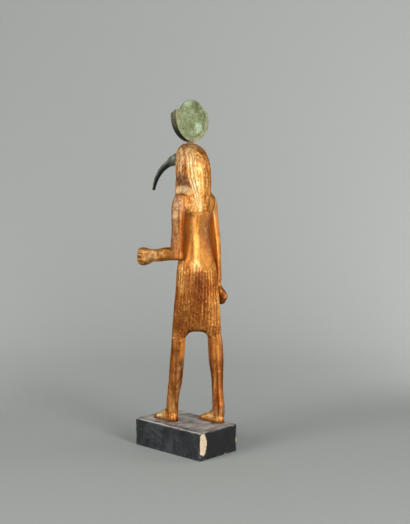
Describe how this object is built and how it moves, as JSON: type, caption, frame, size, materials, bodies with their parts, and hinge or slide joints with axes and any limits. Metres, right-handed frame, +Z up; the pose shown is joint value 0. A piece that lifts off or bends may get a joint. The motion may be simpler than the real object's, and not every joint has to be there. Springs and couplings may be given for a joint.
{
  "type": "ibis-headed striding figure",
  "caption": "Striding ibis-headed figure of gilded wood with a curved bronze bill and a bronze disc and crescent on its crown, standing on a black rectangular plinth.",
  "frame": {"origin": "middle of the plinth's underside", "axes": "+Z up; the figure faces -Y and its own left is +X"},
  "size_m": [0.07, 0.1059, 0.3771],
  "materials": {
    "gilded_wood": "worn gold leaf over gesso on carved wood, rubbed to reddish brown, bright on the wig and back",
    "dark_bronze": "bronze with a dull dark grey-green patina",
    "green_bronze": "bronze with a matte mottled pale green and olive patina and a brown rim",
    "black_painted_wood": "old matte black paint, dusty on top, chipped to pale wood and gesso at one corner"
  },
  "bodies": {
    "root": {"gilded_figure": "gilded_wood", "beak": "dark_bronze", "lunar_disc": "green_bronze", "plinth": "black_painted_wood"}
  },
  "joints": []
}
